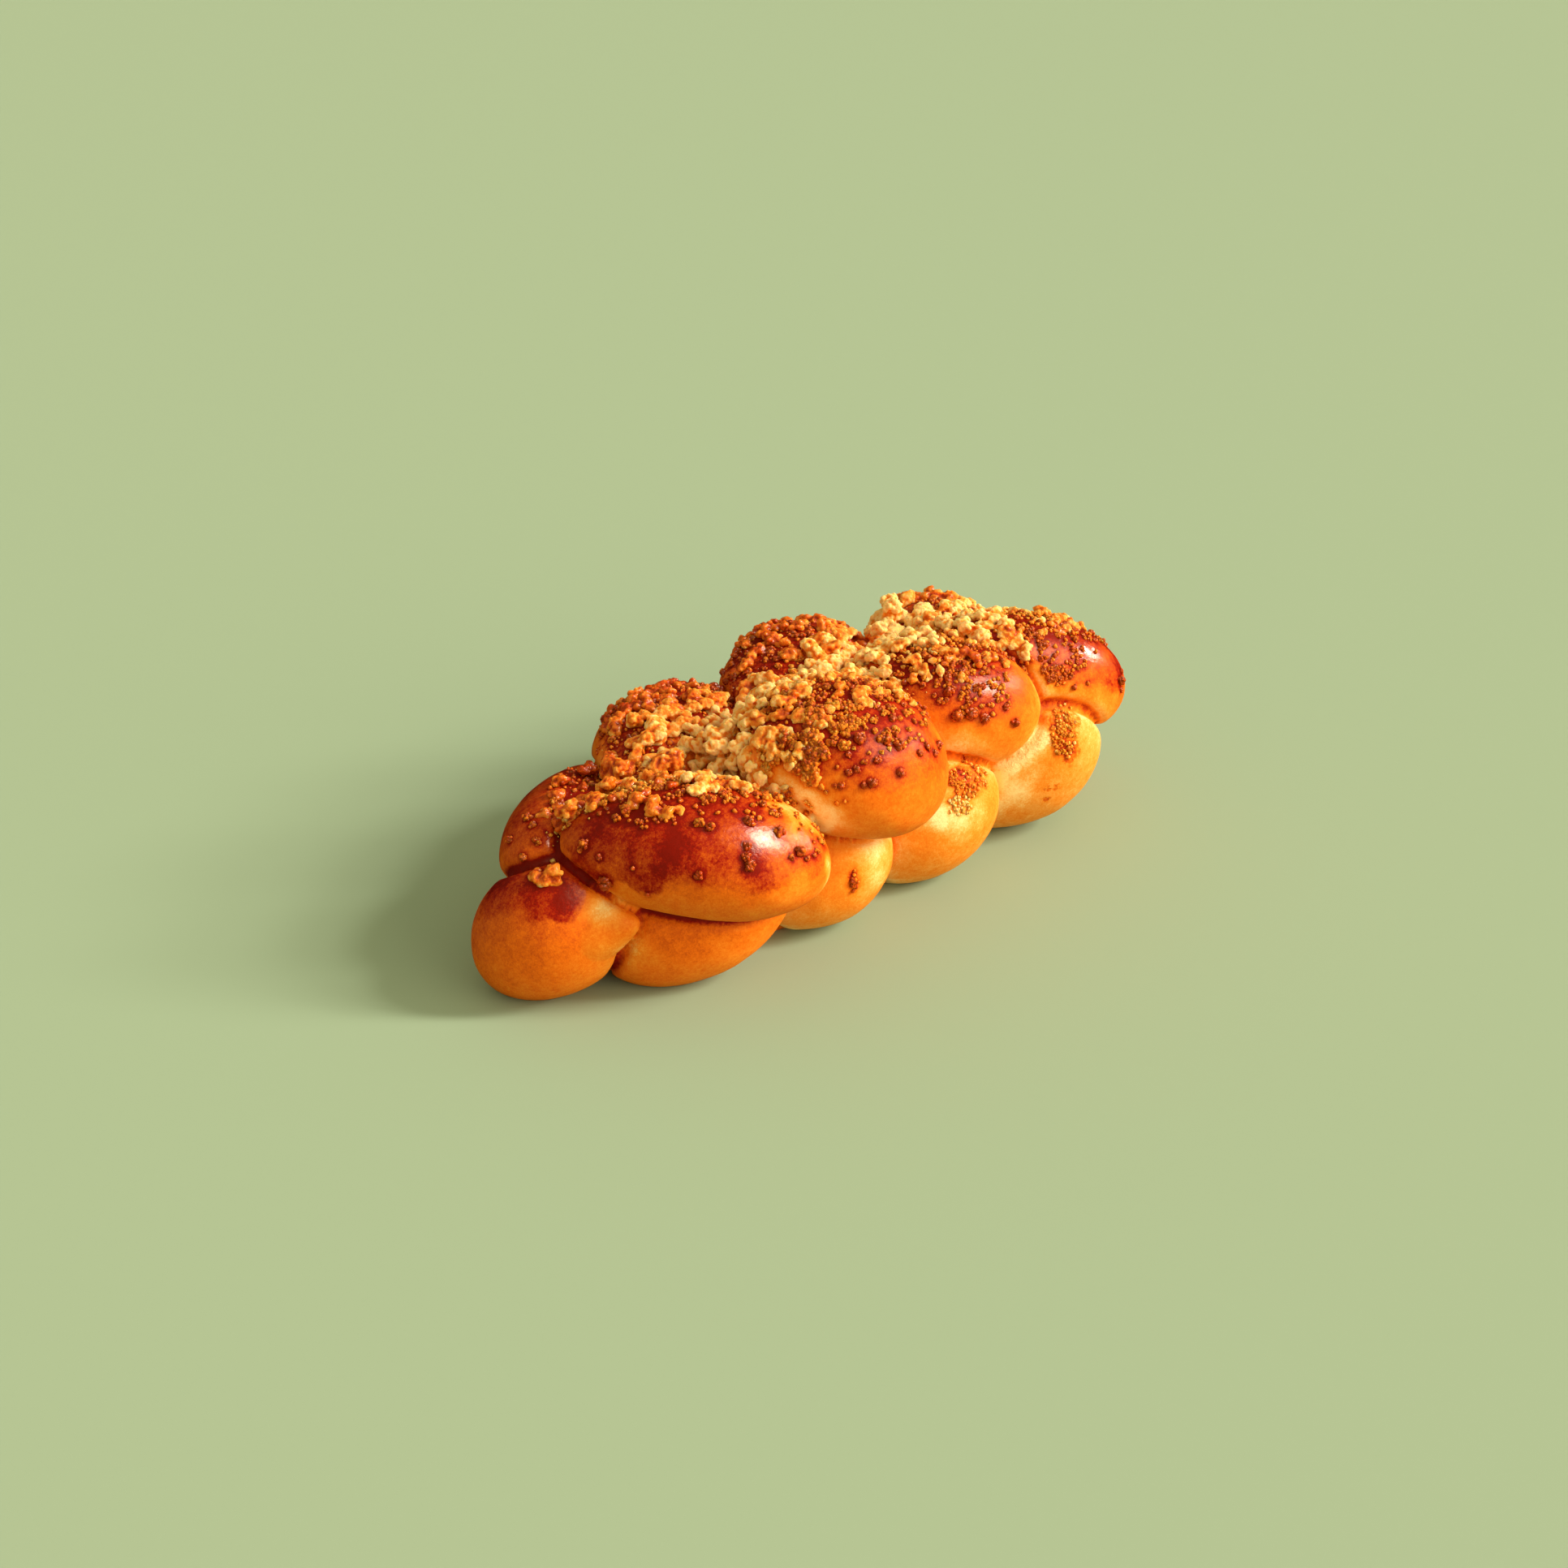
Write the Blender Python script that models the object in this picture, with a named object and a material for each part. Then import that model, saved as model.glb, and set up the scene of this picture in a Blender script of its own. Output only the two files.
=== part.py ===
# A braided sweet loaf (challah) with butter streusel, in metres, +Z up.
#
# Four ropes of egg dough are plaited round one another, left to rise and baked on a flat
# sheet. Each rope shows as a row of swells between its crossings: two rows on top that meet
# in a herringbone along the middle, and two rows below that carry them. The near end of one
# rope is tucked under and makes a round ball. Streusel is heaped in the groove between the
# upper rows and lies on the swells beside it.
#
# The loaf runs along X. Its near end (the ball) is at -X, its shown side at -Y. The origin is
# the bottom centre of its box.

from math import pi, radians, sin
from random import Random

import bmesh
import bpy
from mathutils import Matrix, Vector
from mathutils.bvhtree import BVHTree

MM = 0.001
MERGE = 0.001 * MM              # corners closer than this are one

# Driving dimensions of the braid.
PITCH = 54 * MM                 # from one crossing to the next, along the loaf
CENTRE = Vector((-1.7, -10.8, 0.0)) * MM     # box centre of the braid before it is set on the origin
AROUND = 18                     # faces round a swell
ALONG = 12                      # faces from end to end of a swell
CREASE = 40                     # degrees between faces past which an edge shades sharp
CUTTER = 0.5                    # side of the cube that cuts the underside flat

# Each row of swells: how many show, where the first one's centre lies (along the loaf, out to
# the side, up), half its length, width and thickness in mm, how far it is turned about Z and
# dips at its far end in degrees, how much fuller the far end is, and how far both ends droop
# as a share of the half length.
ROWS = {
    "upper_right": dict(
        count=4, at=(-72, -33, 55), half=(44, 31, 24), turn=-40, dip=6, fuller=0.08, droop=0.05),
    "upper_left": dict(
        count=4, at=(-80, 16, 49), half=(46, 30, 23), turn=36, dip=10, fuller=0.06, droop=0.05),
    "lower_right": dict(
        count=4, at=(-75, -36, 23), half=(37, 26, 25), turn=-32, dip=-15, fuller=0.06, droop=-0.02),
    "lower_left": dict(
        count=4, at=(-75, 18, 23), half=(37, 26, 25), turn=32, dip=-15, fuller=0.06, droop=-0.02),
}

# A hand-plaited loaf is uneven: what single swells have more or less than their row.
UNEVEN = {
    ("upper_right", 0): dict(at=(-3, -7, -4), half=(4, -3, -1), turn=-7, dip=-2),
    ("upper_right", 1): dict(at=(8, -10, 10), half=(-3, 3, 2), turn=-6, dip=2, fuller=0.05, droop=0.03),
    ("upper_right", 2): dict(at=(18, 4, 3), half=(-4, -2, 0), turn=4, dip=-4),
    ("upper_right", 3): dict(at=(5, 2, 0), half=(0, -5, 1), turn=9, dip=4, fuller=-0.05, droop=-0.02),
    ("upper_left", 0): dict(at=(-2, 1, -14), half=(2, -7, 0), turn=-7, dip=2, fuller=-0.06),
    ("upper_left", 1): dict(at=(-6, 5, 0), half=(4, 1, -2), dip=3, fuller=0.05),
    ("upper_left", 2): dict(at=(-2, 3, 3), dip=-8, droop=-0.03),
    ("upper_left", 3): dict(at=(8, -4, -2), half=(-1, -3, 1), droop=0.03),
    ("lower_right", 0): dict(at=(0, -1, 0), half=(1, -3, -1), dip=-3, fuller=-0.1),
    ("lower_right", 1): dict(at=(-1, -1, 0), half=(-3, -1, 0), turn=-4, dip=5),
    ("lower_right", 2): dict(at=(-3, -2, 1), half=(-1, 0, 2)),
    ("lower_right", 3): dict(at=(-5, -1, 5), half=(3, -1, 4), turn=-4, dip=-6, fuller=0.08, droop=-0.03),
    ("lower_left", 3): dict(at=(-5, 0, 2), half=(1, 0, 1)),
}

# Swells that stand alone: the ball of the tucked near end, the far ends pinched together and
# tucked under, the heart of the braid where the ropes cross, and the underside, where they
# have baked flat and grown together.
SINGLE = {
    "near_ball": dict(at=(-117, -12, 24), half=(31, 24, 25), turn=-33, dip=-24, fuller=0.0, droop=0.08),
    "far_tuck": dict(at=(111, -11, 22), half=(30, 34, 23), turn=0, dip=0, fuller=0.0, droop=0.0),
    "heart": dict(at=(-5, -8, 31), half=(122, 38, 30), turn=0, dip=0, fuller=0.0, droop=0.0),
    "underside": dict(at=(0, -8, 8), half=(114, 37, 19), turn=0, dip=0, fuller=0.0, droop=0.0),
}

# Streusel. Clumps fill the groove, single crumbs lie on the swells on both sides of it.
SEED = 18
CLUMP = (6.5 * MM, 11.0 * MM)       # across, smallest and largest
CRUMB = (3.5 * MM, 6.0 * MM)
CLUMP_STEP = 9.0 * MM               # spacing of the clumps before they are strewn
CLUMP_ROWS = 4
GROOVE_SIDE = -9 * MM               # the groove's middle line, before centring
GROOVE_SLANT = 2 * MM               # it wanders this far to both sides
GROOVE_ENDS = (-96 * MM, 122 * MM)
CRUMBS = 50
CRUMB_SPAN = 46 * MM                # how far from the groove single crumbs reach
LEFT_SHARE = 0.6                    # more of them fell on the left swells
THINNING = 1.4                      # above 1, they lie closer together near the groove
STREW = 0.3                         # how far a clump is off its grid, as a share of the step
STEEPEST = 0.25                     # no streusel holds where the crust's normal rises less
SUNK = 0.26                         # share of a piece that is below the crust
KNOCK = (0.82, 1.12)                # how far a corner of a piece is pushed in or out
LENGTHS, WIDTHS, HEIGHTS = (0.85, 1.2), (0.8, 1.1), (0.7, 0.95)
TOP = 0.2                           # rays for the streusel start at this height


def clear_scene():
    for obj in list(bpy.data.objects):
        bpy.data.objects.remove(obj, do_unlink=True)


def baked_dough():
    """Glossy orange-brown crust, as the loaf's main colour."""
    material = bpy.data.materials.new("baked_dough")
    material.use_nodes = True
    shader = material.node_tree.nodes["Principled BSDF"]
    shader.inputs["Base Color"].default_value = (0.56, 0.20, 0.04, 1.0)
    shader.inputs["Roughness"].default_value = 0.38
    shader.inputs["Metallic"].default_value = 0.0
    return material


def swells():
    """Every swell of the braid by name, each row's shape changed by its own unevenness."""
    found = {}
    for row, shape in ROWS.items():
        for k in range(shape["count"]):
            own = UNEVEN.get((row, k), {})
            shift = own.get("at", (0, 0, 0))
            grow = own.get("half", (0, 0, 0))
            found[f"{row}_{k}"] = dict(
                at=Vector(shape["at"]) * MM + Vector((k * PITCH, 0, 0)) + Vector(shift) * MM,
                half=(Vector(shape["half"]) + Vector(grow)) * MM,
                turn=shape["turn"] + own.get("turn", 0),
                dip=shape["dip"] + own.get("dip", 0),
                fuller=shape["fuller"] + own.get("fuller", 0),
                droop=shape["droop"] + own.get("droop", 0))
    for name, shape in SINGLE.items():
        found[name] = dict(shape, at=Vector(shape["at"]) * MM, half=Vector(shape["half"]) * MM)
    return found


def new_object(name, bm):
    mesh = bpy.data.meshes.new(name)
    bm.to_mesh(mesh)
    bm.free()
    obj = bpy.data.objects.new(name, mesh)
    return obj


def swell_object(name, shape):
    """One swell: a sphere with its poles on the rope's axis, stretched, egg-shaped and drooped."""
    bm = bmesh.new()
    bmesh.ops.create_uvsphere(bm, u_segments=AROUND, v_segments=ALONG, radius=1.0)
    bmesh.ops.rotate(bm, verts=bm.verts, cent=(0, 0, 0), matrix=Matrix.Rotation(radians(90), 3, "Y"))
    half = shape["half"]
    for vert in bm.verts:
        t = vert.co.x
        width = 1 + shape["fuller"] * t
        vert.co = (half.x * t, half.y * width * vert.co.y,
                   half.z * width * vert.co.z - shape["droop"] * half.x * t * t)
    turn = Matrix.Rotation(radians(shape["turn"]), 4, "Z") @ Matrix.Rotation(radians(shape["dip"]), 4, "Y")
    bmesh.ops.transform(bm, verts=bm.verts, matrix=Matrix.Translation(shape["at"] - CENTRE) @ turn)
    return new_object(name, bm)


def fuse(body, pieces, name):
    """Join the pieces to the body with one Boolean union on their collection, and remove them."""
    group = bpy.data.collections.new(name)
    bpy.context.scene.collection.children.link(group)
    for piece in pieces:
        group.objects.link(piece)
    union = body.modifiers.new(name, "BOOLEAN")
    union.operation = "UNION"
    union.operand_type = "COLLECTION"
    union.collection = group
    union.solver = "EXACT"
    apply_modifiers(body)
    for piece in list(group.objects):
        bpy.data.objects.remove(piece, do_unlink=True)
    bpy.data.collections.remove(group)


def apply_modifiers(obj):
    bpy.context.view_layer.update()
    shown = obj.evaluated_get(bpy.context.evaluated_depsgraph_get())
    mesh = bpy.data.meshes.new_from_object(shown)
    obj.modifiers.clear()
    obj.data = mesh


def cut_flat(body):
    """Cut off what lies below the baking sheet."""
    bm = bmesh.new()
    bmesh.ops.create_cube(bm, size=CUTTER)
    bmesh.ops.translate(bm, verts=bm.verts, vec=(0, 0, -CUTTER / 2))
    below = new_object("below_sheet", bm)
    below.hide_render = True
    below.display_type = "WIRE"
    bpy.context.scene.collection.objects.link(below)
    cut = body.modifiers.new("cut", "BOOLEAN")
    cut.operation = "DIFFERENCE"
    cut.object = below
    cut.solver = "EXACT"
    apply_modifiers(body)
    bpy.data.objects.remove(below, do_unlink=True)


def keep_outer_shell(body):
    """Keep the largest shell: sealed hollows between the ropes are filled, loose scraps dropped."""
    bm = bmesh.new()
    bm.from_mesh(body.data)
    bmesh.ops.remove_doubles(bm, verts=bm.verts, dist=MERGE)
    unseen = set(bm.verts)
    shells = []
    while unseen:
        shell = {unseen.pop()}
        front = list(shell)
        while front:
            vert = front.pop()
            for edge in vert.link_edges:
                other = edge.other_vert(vert)
                if other in unseen:
                    unseen.discard(other)
                    shell.add(other)
                    front.append(other)
        shells.append(shell)
    shells.sort(key=len, reverse=True)
    for shell in shells[1:]:
        bmesh.ops.delete(bm, geom=list(shell), context="VERTS")
    bm.to_mesh(body.data)
    bm.free()


def lump(rng, place, up, size, number):
    """One piece of streusel: a 20-sided lump, knocked out of round, partly sunk in the crust."""
    bm = bmesh.new()
    bmesh.ops.create_icosphere(bm, subdivisions=1, radius=size / 2)
    for vert in bm.verts:
        vert.co *= rng.uniform(*KNOCK)
    squash = Matrix.Diagonal((rng.uniform(*LENGTHS), rng.uniform(*WIDTHS), rng.uniform(*HEIGHTS), 1.0))
    spin = Matrix.Rotation(rng.uniform(0, 2 * pi), 4, "Z")
    lean = up.to_track_quat("Z", "Y").to_matrix().to_4x4()
    centre = place + up * size * (0.5 - SUNK)
    bmesh.ops.transform(bm, verts=bm.verts, matrix=Matrix.Translation(centre) @ lean @ squash @ spin)
    return new_object(f"lump_{number}", bm)


def groove_side(x):
    """The groove's middle line: it swings from side to side once in each pitch."""
    return GROOVE_SIDE - CENTRE.y + GROOVE_SLANT * sin(2 * pi * x / PITCH)


def strewn_places(rng, tree):
    """Where the streusel lies: clumps on a loose grid in the groove, then crumbs further out."""
    places = []
    low, high = (end - CENTRE.x for end in GROOVE_ENDS)
    steps = int((high - low) / CLUMP_STEP)
    for i in range(steps + 1):
        for j in range(CLUMP_ROWS):
            x = low + (i + rng.uniform(-STREW, STREW)) * CLUMP_STEP
            out = (j - (CLUMP_ROWS - 1) / 2 + rng.uniform(-STREW, STREW)) * CLUMP_STEP
            places.append((x, groove_side(x) + out, rng.uniform(*CLUMP)))
    clump_edge = CLUMP_ROWS / 2 * CLUMP_STEP
    for _ in range(CRUMBS):
        x = rng.uniform(low, high)
        side = 1 if rng.random() < LEFT_SHARE else -1
        out = clump_edge + rng.random() ** THINNING * (CRUMB_SPAN - clump_edge)
        places.append((x, groove_side(x) + side * out, rng.uniform(*CRUMB)))
    for x, y, size in places:
        point, normal, _, _ = tree.ray_cast(Vector((x, y, TOP)), Vector((0, 0, -1)))
        if point is not None and normal.z > STEEPEST:
            yield point, normal, size


def streusel(body):
    rng = Random(SEED)
    bm = bmesh.new()
    bm.from_mesh(body.data)
    tree = BVHTree.FromBMesh(bm)
    bm.free()
    found = enumerate(strewn_places(rng, tree))
    return [lump(rng, point, normal, size, number) for number, (point, normal, size) in found]


def build_loaf():
    ropes = {name: swell_object(name, shape) for name, shape in swells().items()}
    loaf = ropes.pop("heart")
    loaf.name = "loaf"
    bpy.context.scene.collection.objects.link(loaf)
    fuse(loaf, list(ropes.values()), "ropes")
    cut_flat(loaf)
    keep_outer_shell(loaf)
    fuse(loaf, streusel(loaf), "streusel")
    keep_outer_shell(loaf)
    loaf.data.name = "loaf"
    loaf.data.materials.clear()
    loaf.data.materials.append(baked_dough())
    loaf.data.shade_smooth()
    loaf.data.set_sharp_from_angle(angle=radians(CREASE))
    return loaf


clear_scene()
build_loaf()
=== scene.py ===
from math import pi, radians, sin, cos
from random import Random

import bmesh
import bpy
import numpy as np
from mathutils import Euler, Matrix, Vector, noise
from mathutils.bvhtree import BVHTree
from mathutils.kdtree import KDTree


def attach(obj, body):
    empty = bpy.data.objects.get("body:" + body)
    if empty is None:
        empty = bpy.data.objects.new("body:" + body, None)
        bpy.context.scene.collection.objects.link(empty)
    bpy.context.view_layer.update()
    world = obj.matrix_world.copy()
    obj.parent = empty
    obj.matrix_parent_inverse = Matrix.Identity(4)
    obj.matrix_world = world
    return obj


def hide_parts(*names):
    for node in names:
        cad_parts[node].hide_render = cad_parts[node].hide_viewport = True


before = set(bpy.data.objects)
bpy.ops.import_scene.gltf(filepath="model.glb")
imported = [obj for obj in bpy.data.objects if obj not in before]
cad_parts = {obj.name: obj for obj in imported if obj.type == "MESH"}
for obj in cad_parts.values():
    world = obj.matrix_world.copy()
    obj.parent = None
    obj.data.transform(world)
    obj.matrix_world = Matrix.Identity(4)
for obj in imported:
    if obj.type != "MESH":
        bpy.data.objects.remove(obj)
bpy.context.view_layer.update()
MM = 0.001

# --------------------------------------
# The view. The loaf was photographed from its near right corner, a metre away and a little
# above, with a long lens. Pixels of that square picture place single crumbs on the crust.
# --------------------------------------
PICTURE = 1932  # side of the square picture, in pixels
FOCAL = 3590  # focal length, in those pixels
SENSOR = 36  # mm
LOOK_AT = Vector((4.7, 10.8, 30.0)) * MM
DISTANCE = 1.10
TURN, RISE = radians(-42), radians(30)

to_camera = Vector((sin(TURN) * cos(RISE), -cos(TURN) * cos(RISE), sin(RISE)))
camera_right = Vector((cos(TURN), sin(TURN), 0.0))
camera_up = to_camera.cross(camera_right)
camera_place = LOOK_AT + to_camera * DISTANCE

camera_data = bpy.data.cameras.new("camera")
camera_data.sensor_width = SENSOR
camera_data.lens = SENSOR * FOCAL / PICTURE
camera = bpy.data.objects.new("camera", camera_data)
camera.location = camera_place
camera.rotation_mode = "QUATERNION"
camera.rotation_quaternion = (-to_camera).to_track_quat("-Z", "Y")
bpy.context.scene.collection.objects.link(camera)
bpy.context.scene.camera = camera


def pixel_ray(x, y):
    """Direction from the camera through a pixel of the picture."""
    half = PICTURE / 2
    return (camera_right * (x - half) - camera_up * (y - half) - to_camera * FOCAL).normalized()


# --------------------------------------
# The loaf. Four ropes of egg dough, plaited, proved until they swell against one another and
# baked on a flat sheet: two rows of swells on top, two below, a tucked ball at the near end.
# The ropes have grown together, so the crust is one closed skin.
# --------------------------------------
PITCH = 54  # mm from one crossing of the plait to the next
CENTRE = Vector((-1.7, -10.8, 0.0))
ROWS = {
    "upper_right": dict(
        count=4, at=(-72, -33, 55), half=(44, 31, 24), turn=-40, dip=6, fuller=0.08, droop=0.05),
    "upper_left": dict(
        count=4, at=(-80, 16, 49), half=(46, 30, 23), turn=36, dip=10, fuller=0.06, droop=0.05),
    "lower_right": dict(
        count=4, at=(-75, -36, 23), half=(37, 26, 25), turn=-32, dip=-15, fuller=0.06, droop=-0.02),
    "lower_left": dict(
        count=4, at=(-75, 18, 23), half=(37, 26, 25), turn=32, dip=-15, fuller=0.06, droop=-0.02),
}
UNEVEN = {
    ("upper_right", 0): dict(at=(-3, -7, -4), half=(4, -3, -1), turn=-7, dip=-2),
    ("upper_right", 1): dict(at=(8, -10, 10), half=(-3, 3, 2), turn=-6, dip=2, fuller=0.05, droop=0.03),
    ("upper_right", 2): dict(at=(18, 4, 3), half=(-4, -2, 0), turn=4, dip=-4),
    ("upper_right", 3): dict(at=(5, 2, 0), half=(0, -5, 1), turn=9, dip=4, fuller=-0.05, droop=-0.02),
    ("upper_left", 0): dict(at=(-2, 1, -14), half=(2, -7, 0), turn=-7, dip=2, fuller=-0.06),
    ("upper_left", 1): dict(at=(-6, 5, 0), half=(4, 1, -2), dip=3, fuller=0.05),
    ("upper_left", 2): dict(at=(-2, 3, 3), dip=-8, droop=-0.03),
    ("upper_left", 3): dict(at=(8, -4, -2), half=(-1, -3, 1), droop=0.03),
    ("lower_right", 0): dict(at=(0, -1, 0), half=(1, -3, -1), dip=-3, fuller=-0.1),
    ("lower_right", 1): dict(at=(-1, -1, 0), half=(-3, -1, 0), turn=-4, dip=5),
    ("lower_right", 2): dict(at=(-3, -2, 1), half=(-1, 0, 2)),
    ("lower_right", 3): dict(at=(-5, -1, 5), half=(3, -1, 4), turn=-4, dip=-6, fuller=0.08, droop=-0.03),
    ("lower_left", 3): dict(at=(-5, 0, 2), half=(1, 0, 1)),
}
SINGLE = {
    "near_ball": dict(at=(-117, -12, 24), half=(31, 24, 25), turn=-33, dip=-24, droop=0.08),
    "ball_tail": dict(at=(-115, -17, 25.5), half=(30, 22, 20), turn=-66, dip=-16, fuller=-0.5),
    "far_tuck": dict(at=(111, -11, 22), half=(30, 34, 23)),
    "heart": dict(at=(-5, -8, 31), half=(122, 38, 30)),
    "underside": dict(at=(0, -8, 8), half=(114, 37, 19)),
}
FILLERS = ("heart", "underside")  # swells that only fill the middle
ONE_ROPE = ("near_ball", "ball_tail")  # no crease between these two
AROUND, ALONG = 72, 48  # faces of a swell before the skin is made
SKIN_STEP = 1.22 * MM  # size of a face of the skin
SMOOTHINGS = 3
UNEVEN_SKIN = 0.6 * MM  # relief of the proved dough: broad waves
FINE_SKIN = 0.15 * MM  # and fine ones
CREASE_DEPTH, CREASE_WIDTH = 2.6 * MM, 2.0 * MM


class Swell:
    """One swell of a rope: where it lies, its half sizes in metres and how it is bent."""

    def __init__(self, at, half, turn, dip, fuller, droop):
        self.half, self.fuller, self.droop = half, fuller, droop
        self.place = (Matrix.Translation(at) @ Matrix.Rotation(radians(turn), 4, "Z")
                      @ Matrix.Rotation(radians(dip), 4, "Y"))

    def mesh(self):
        """The swell as a mesh, cut off where it meets the baking sheet."""
        made = bmesh.new()
        bmesh.ops.create_uvsphere(made, u_segments=AROUND, v_segments=ALONG, radius=1.0)
        bmesh.ops.rotate(made, verts=made.verts, cent=(0, 0, 0), matrix=Matrix.Rotation(pi / 2, 3, "Y"))
        for vert in made.verts:
            t = vert.co.x
            width = 1 + self.fuller * t
            vert.co = (self.half.x * t, self.half.y * width * vert.co.y,
                       self.half.z * width * vert.co.z - self.droop * self.half.x * t * t)
        bmesh.ops.transform(made, verts=made.verts, matrix=self.place)
        everything = made.verts[:] + made.edges[:] + made.faces[:]
        cut = bmesh.ops.bisect_plane(made, geom=everything, plane_co=(0, 0, 0), plane_no=(0, 0, -1),
                                     clear_outer=True)
        rim = [e for e in cut["geom_cut"] if isinstance(e, bmesh.types.BMEdge)]
        if rim:
            bmesh.ops.edgeloop_fill(made, edges=rim)
        mesh = bpy.data.meshes.new("swell")
        made.to_mesh(mesh)
        made.free()
        return mesh

    def round_place(self, points):
        """The points in the swell's own round frame, where its skin has radius 1."""
        back = np.array(self.place.inverted())
        local = points @ back[:3, :3].T + back[:3, 3]
        t = local[:, 0] / self.half.x
        width = np.maximum(1 + self.fuller * t, 0.3)
        y = local[:, 1] / (self.half.y * width)
        z = (local[:, 2] + self.droop * self.half.x * t * t) / (self.half.z * width)
        return np.stack([t, y, z], axis=1)

    def distance(self, points):
        """Distance of each point from the swell's skin, in metres, negative inside."""
        q = self.round_place(points)
        size = np.linalg.norm(q, axis=1)
        slope = np.linalg.norm(q / np.array(self.half), axis=1) / np.maximum(size, 1e-6)
        return (size - 1) / np.maximum(slope, 1e-6)

    def outward(self, points):
        """Direction out of the swell at each point."""
        q = self.round_place(points) / np.array(self.half)
        q /= np.linalg.norm(q, axis=1)[:, None]
        return q @ np.array(self.place)[:3, :3].T


def changed(shape, own, along=0.0):
    """A swell of a shape, changed by its own unevenness and moved along the loaf, in mm."""
    none = (0, 0, 0)
    at = Vector(shape["at"]) + Vector(own.get("at", none)) + Vector((along, 0, 0)) - CENTRE
    half = Vector(shape["half"]) + Vector(own.get("half", none))
    bend = {key: shape.get(key, 0) + own.get(key, 0) for key in ("turn", "dip", "fuller", "droop")}
    return Swell(at * MM, half * MM, **bend)


def plait():
    """All swells by name."""
    found = {}
    for row, shape in ROWS.items():
        for k in range(shape["count"]):
            found[f"{row}_{k}"] = changed(shape, UNEVEN.get((row, k), {}), k * PITCH)
    for name, shape in SINGLE.items():
        found[name] = changed(shape, {})
    return found


def new_piece(name, mesh):
    """Puts a mesh into the scene as a piece of the loaf."""
    obj = bpy.data.objects.new(name, mesh)
    bpy.context.scene.collection.objects.link(obj)
    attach(obj, "root")
    return obj


def applied(obj):
    """Applies the object's modifiers to its mesh."""
    bpy.context.view_layer.update()
    shown = obj.evaluated_get(bpy.context.evaluated_depsgraph_get())
    mesh = bpy.data.meshes.new_from_object(shown)
    old = obj.data
    obj.modifiers.clear()
    obj.data = mesh
    mesh.name = obj.name
    bpy.data.meshes.remove(old)


def one_skin(obj, step):
    """Makes one closed skin round everything in the object's mesh."""
    skin = obj.modifiers.new("skin", "REMESH")
    skin.mode = "VOXEL"
    skin.voxel_size = step
    skin.use_smooth_shade = True
    applied(obj)


def smoothed(obj, times):
    smooth = obj.modifiers.new("smooth", "SMOOTH")
    smooth.iterations = times
    applied(obj)


def corners(mesh):
    co = np.empty(len(mesh.vertices) * 3, np.float32)
    mesh.vertices.foreach_get("co", co)
    return co.reshape(-1, 3).astype(float)


def normals(mesh):
    no = np.empty(len(mesh.vertices) * 3, np.float32)
    mesh.vertex_normals.foreach_get("vector", no)
    return no.reshape(-1, 3).astype(float)


def set_corners(mesh, co):
    mesh.vertices.foreach_set("co", co.astype(np.float32).ravel())
    mesh.update()


def paint(mesh, name, values):
    """Stores one value for each corner of the mesh, for its material."""
    layer = mesh.attributes.new(name, "FLOAT", "POINT")
    layer.data.foreach_set("value", np.asarray(values, np.float32))


def largest_shell(mesh):
    """Drops sealed hollows and scraps: only the largest connected shell stays."""
    bm = bmesh.new()
    bm.from_mesh(mesh)
    unseen = set(bm.verts)
    shells = []
    while unseen:
        front = [unseen.pop()]
        shell = set(front)
        while front:
            for edge in front.pop().link_edges:
                for vert in edge.verts:
                    if vert in unseen:
                        unseen.discard(vert)
                        shell.add(vert)
                        front.append(vert)
        shells.append(shell)
    shells.sort(key=len, reverse=True)
    for shell in shells[1:]:
        bmesh.ops.delete(bm, geom=list(shell), context="VERTS")
    bm.to_mesh(mesh)
    bm.free()


def settle(co, passes=2, most=0.8 * MM):
    """Moves points back onto the swells, which keeps the creases between them sharp."""
    for _ in range(passes):
        away = np.stack([swell.distance(co) for swell in swells.values()])
        owner = away.argmin(axis=0)
        for k, swell in enumerate(swells.values()):
            mine = (owner == k) & (np.abs(away[k]) < 2 * most)
            step = np.clip(away[k, mine], -most, most)
            co[mine] -= swell.outward(co[mine]) * step[:, None]
    co[:, 2] = np.maximum(co[:, 2], 0)
    return co


def wave(co, size, seed=0):
    """Smooth noise from about -1 to 1 at each point, with waves of that size in metres."""
    shift = Vector((seed * 7.3, seed * 3.1, seed * 5.7))
    return np.array([noise.noise(Vector(p) / size + shift) for p in co])


def step_up(value, low, high):
    """0 below low, 1 above high, smooth between."""
    t = np.clip((value - low) / (high - low), 0, 1)
    return t * t * (3 - 2 * t)


swells = plait()
bm = bmesh.new()
for swell in swells.values():
    mesh = swell.mesh()
    bm.from_mesh(mesh)
    bpy.data.meshes.remove(mesh)
mesh = bpy.data.meshes.new("loaf_crust")
bm.to_mesh(mesh)
bm.free()
crust = new_piece("loaf_crust", mesh)
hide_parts("loaf")
one_skin(crust, SKIN_STEP)
largest_shell(crust.data)
smoothed(crust, SMOOTHINGS)
co = settle(corners(crust.data))
set_corners(crust.data, co)

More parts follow.
